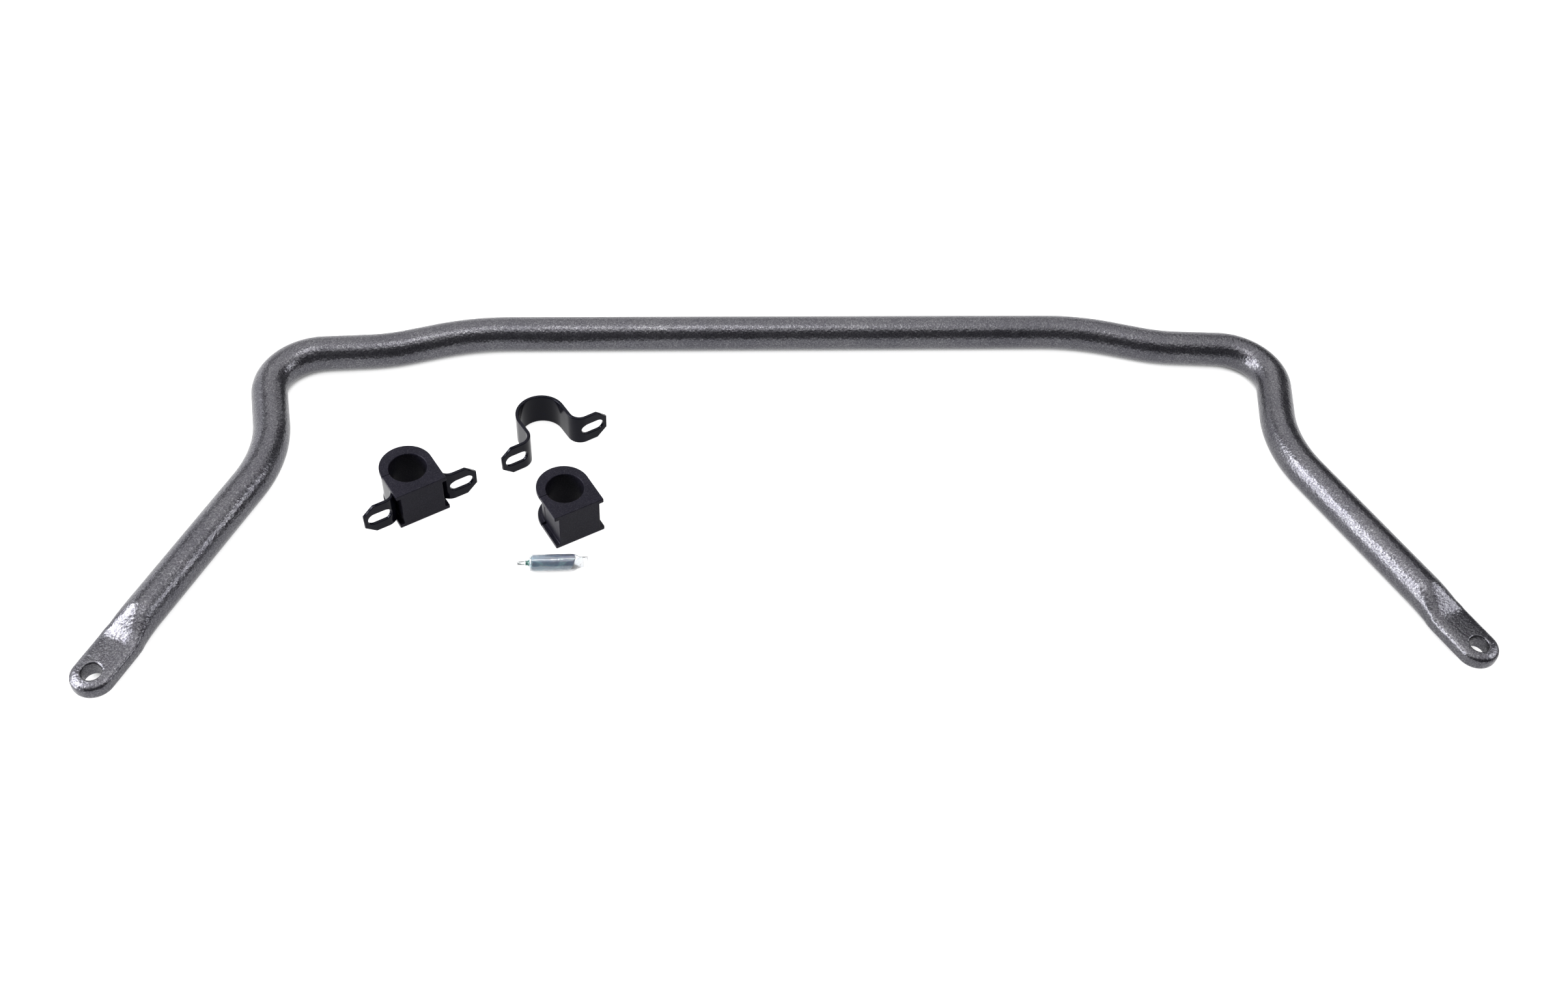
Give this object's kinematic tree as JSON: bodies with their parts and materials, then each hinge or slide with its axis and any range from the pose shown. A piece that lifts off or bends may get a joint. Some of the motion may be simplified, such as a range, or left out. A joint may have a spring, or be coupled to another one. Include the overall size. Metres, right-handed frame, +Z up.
{
  "type": "sway bar",
  "caption": "Bent steel anti-roll bar with flattened, drilled ends, laid out with its split bushings, slotted U-shaped brackets and a small tube of grease.",
  "frame": {"origin": "centre of the laid-out kit's rectangle on the floor, which lies on the bar's plane of symmetry", "axes": "+X along the bar's straight middle towards its right end, +Y from the open ends of the arms towards the straight middle, +Z up from the floor the kit lies on"},
  "size_m": [1.15, 0.4148, 0.039],
  "materials": {
    "powder_coat": "silver-vein hammered powder coat, satin",
    "polyurethane": "moulded black polyurethane, satin",
    "black_paint": "gloss black paint over pressed steel",
    "clear_plastic": "clear soft plastic",
    "grease": "blue-green grease seen through clear plastic"
  },
  "bodies": {
    "left_bushing": {"bushing_left": "polyurethane"},
    "bar": {"bar": "powder_coat"},
    "left_bracket": {"bracket_left": "black_paint"},
    "right_bushing": {"bushing_right": "polyurethane"},
    "right_bracket": {"bracket_right": "black_paint"},
    "tube": {"tube_sleeve": "clear_plastic", "tube_head": "clear_plastic", "tube_grease": "grease"},
    "tip": {"tube_tip": "clear_plastic"}
  },
  "joints": [
    {"name": "bar_turn", "type": "hinge", "parent": "left_bushing", "child": "bar", "pos_m": [0, 0.19156, 0.01588], "axis": [-1, 0, 0], "range_deg": [0, 30]},
    {"name": "bracket_left_pull", "type": "slide", "parent": "left_bushing", "child": "left_bracket", "axis": [-0.4939, 0.8695, 0], "range_m": [0, 0.06]},
    {"name": "bushing_right_lift", "type": "slide", "parent": "left_bushing", "child": "right_bushing", "axis": [0, 0, 1], "range_m": [0, 0.08]},
    {"name": "bracket_right_lift", "type": "slide", "parent": "left_bushing", "child": "right_bracket", "axis": [0, 0, 1], "range_m": [0, 0.08]},
    {"name": "tube_lift", "type": "slide", "parent": "left_bushing", "child": "tube", "axis": [0, 0, 1], "range_m": [0, 0.08]},
    {"name": "tube_tip_pull", "type": "slide", "parent": "tube", "child": "tip", "axis": [-1, -0.0087, 0], "range_m": [0, 0.02]}
  ]
}
